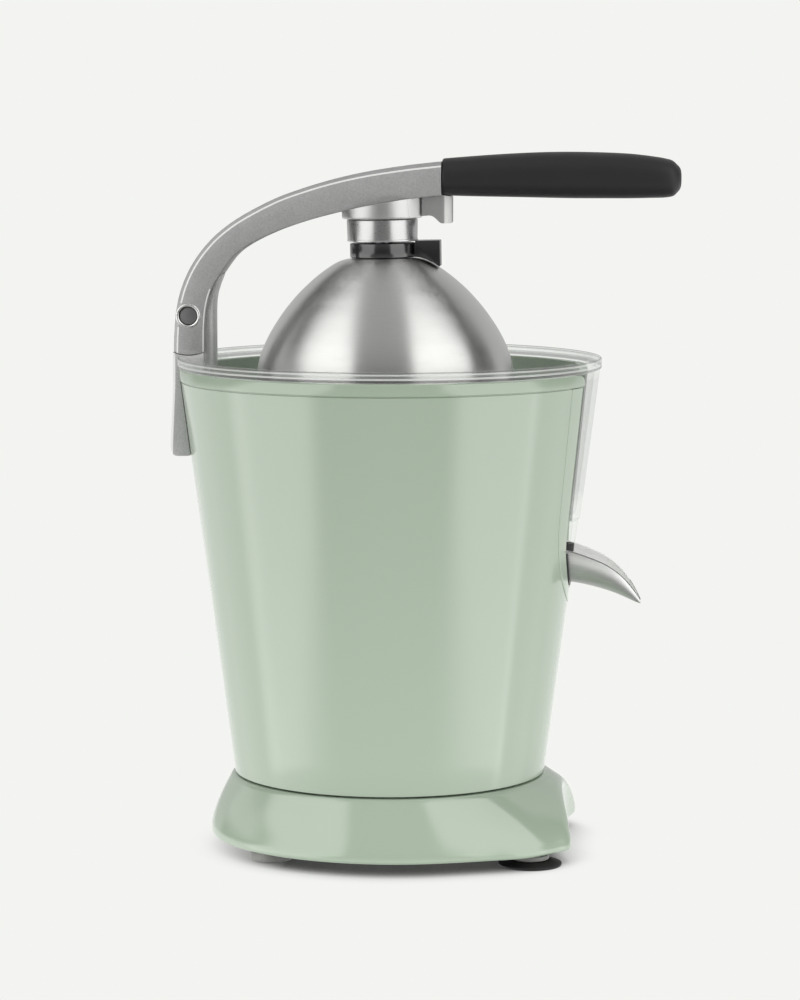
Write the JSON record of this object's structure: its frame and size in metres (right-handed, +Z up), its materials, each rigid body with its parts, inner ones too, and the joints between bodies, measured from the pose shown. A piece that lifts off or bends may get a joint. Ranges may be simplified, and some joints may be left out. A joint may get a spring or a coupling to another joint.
{
  "type": "lever citrus juice press",
  "caption": "Electric lever citrus press: tapered sage motor body, clear juice bowl, steel press dome on a hinged cast arm with black grip, tilting steel spout.",
  "frame": {"origin": "centre of the object's bounding box at the level its feet stand on", "axes": "+Z up, +X towards the spout and grip, +Y to the left of someone facing along +X"},
  "size_m": [0.2452, 0.204, 0.335],
  "materials": {
    "sage_plastic": "glossy sage green moulded plastic",
    "clear_plastic": "polished clear plastic",
    "brushed_steel": "satin brushed stainless steel",
    "cast_aluminium": "bead-blasted cast aluminium, satin",
    "grip_black": "satin black soft plastic",
    "black_plastic": "black moulded plastic",
    "black_rubber": "black rubber",
    "foot_grey": "pale grey plastic",
    "nylon": "natural nylon",
    "zinc_steel": "zinc-plated steel",
    "brass": "sintered bronze or turned brass",
    "board_green": "green circuit board"
  },
  "bodies": {
    "motor_body": {"base_skirt": "sage_plastic", "cord_gland": "black_rubber", "base_plate": "black_plastic", "rear_foot_left": "foot_grey", "rear_foot_right": "foot_grey", "front_foot_left": "foot_grey", "front_foot_right": "foot_grey", "rear_pad_left": "black_rubber", "rear_pad_right": "black_rubber", "suction_cup_left": "black_rubber", "suction_cup_right": "black_rubber", "body_shell": "sage_plastic", "front_bezel": "sage_plastic", "spout_recess": "sage_plastic", "motor_deck": "sage_plastic", "juice_bowl": "clear_plastic", "nozzle_seal": "black_rubber", "pulp_strainer": "brushed_steel", "idler_axle": "zinc_steel", "motor_can": "zinc_steel", "gearbox_lower_plate": "zinc_steel", "gearbox_upper_plate": "zinc_steel", "gearbox_pillar_1": "zinc_steel", "gearbox_pillar_2": "zinc_steel", "gearbox_pillar_3": "zinc_steel", "shaft_bush": "brass", "shaft_seal": "black_rubber", "micro_switch": "black_plastic", "circuit_board": "board_green", "lever_bracket": "cast_aluminium", "bracket_backing_plate": "zinc_steel", "bracket_screw_1": "zinc_steel", "bracket_screw_2": "zinc_steel", "hinge_pin": "zinc_steel", "hinge_washer_left": "nylon", "hinge_washer_right": "nylon", "spout_pivot_pin": "zinc_steel"},
    "lever": {"lever_arm": "cast_aluminium", "grip": "grip_black", "collar_sleeve": "brushed_steel", "head_spring": "zinc_steel"},
    "press_head": {"head_stem": "zinc_steel", "dome_nut": "zinc_steel"},
    "dome_unit": {"lock_ring": "black_plastic", "dome": "brushed_steel"},
    "drive": {"drive_shaft": "zinc_steel", "output_gear": "nylon"},
    "reamer_unit": {"reamer": "brushed_steel", "switch_push_rod": "zinc_steel"},
    "idler": {"idler_gear": "nylon"},
    "motor_rotor": {"motor_shaft": "zinc_steel", "motor_pinion": "brass"},
    "spout_unit": {"spout": "brushed_steel", "drip_stop_plug": "black_rubber"}
  },
  "joints": [
    {"name": "lever_lift", "type": "hinge", "parent": "motor_body", "child": "lever", "pos_m": [-0.11355, 0, 0.2568], "axis": [0, -1, 0], "range_deg": [0, 100]},
    {"name": "press_head_slide", "type": "slide", "parent": "lever", "child": "press_head", "axis": [-0.0175, 0, 0.9998], "range_m": [0, 0.006], "stiffness_N_per_m": 1500, "springref_m": -0.01, "deforming": ["head_spring"]},
    {"name": "dome_twist", "type": "hinge", "parent": "press_head", "child": "dome_unit", "pos_m": [-0.02086, 0, 0.285], "axis": [-0.0175, 0, 0.9998], "range_deg": [0, 60]},
    {"name": "reamer_spin", "type": "hinge", "parent": "motor_body", "child": "drive", "pos_m": [-0.01765, 0, 0.2], "axis": [0, 0, 1], "continuous": true},
    {"name": "reamer_press", "type": "slide", "parent": "drive", "child": "reamer_unit", "axis": [0, 0, 1], "range_m": [-0.0025, 0], "stiffness_N_per_m": 900, "springref_m": 0.012},
    {"name": "idler_spin", "type": "hinge", "parent": "motor_body", "child": "idler", "pos_m": [-0.04885, 0.018, 0.116], "axis": [0, 0, 1], "continuous": true},
    {"name": "motor_spin", "type": "hinge", "parent": "motor_body", "child": "motor_rotor", "pos_m": [-0.05458, -0.0145, 0.1], "axis": [0, 0, 1], "continuous": true},
    {"name": "spout_tip", "type": "hinge", "parent": "motor_body", "child": "spout_unit", "pos_m": [0.05835, 0, 0.141], "axis": [0, -1, 0], "range_deg": [0, 20]}
  ],
  "couplings": [
    {"joint": "idler_spin", "follows": "reamer_spin", "ratio": -3},
    {"joint": "motor_spin", "follows": "reamer_spin", "ratio": 8}
  ]
}
